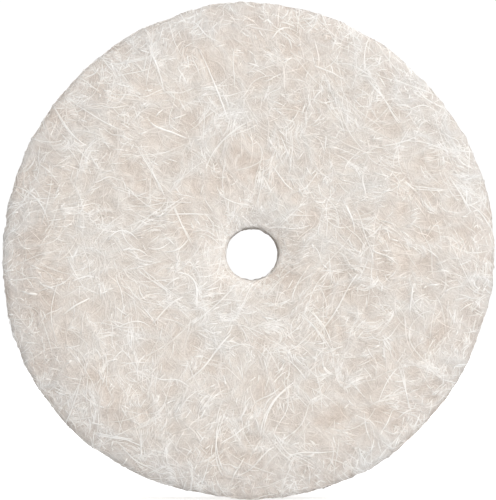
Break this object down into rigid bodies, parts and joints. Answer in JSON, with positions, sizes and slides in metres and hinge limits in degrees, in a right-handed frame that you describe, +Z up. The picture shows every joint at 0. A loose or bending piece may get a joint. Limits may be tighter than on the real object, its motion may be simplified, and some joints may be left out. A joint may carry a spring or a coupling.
{
  "type": "felt polishing wheel",
  "caption": "Small round polishing wheel of thick pressed wool felt with a plain punched centre hole for a rotary-tool screw mandrel.",
  "frame": {"origin": "centre of the wheel: on the bore axis, halfway through the felt", "axes": "+Y along the axis the wheel spins about, with one face towards -Y and the other towards +Y; +Z up"},
  "size_m": [0.0126, 0.004, 0.0126],
  "materials": {
    "wool_felt": "pressed natural wool felt, matt, with a tangle of raised pale fibres on both faces"
  },
  "bodies": {
    "root": {"felt_disc": "wool_felt"}
  },
  "joints": []
}
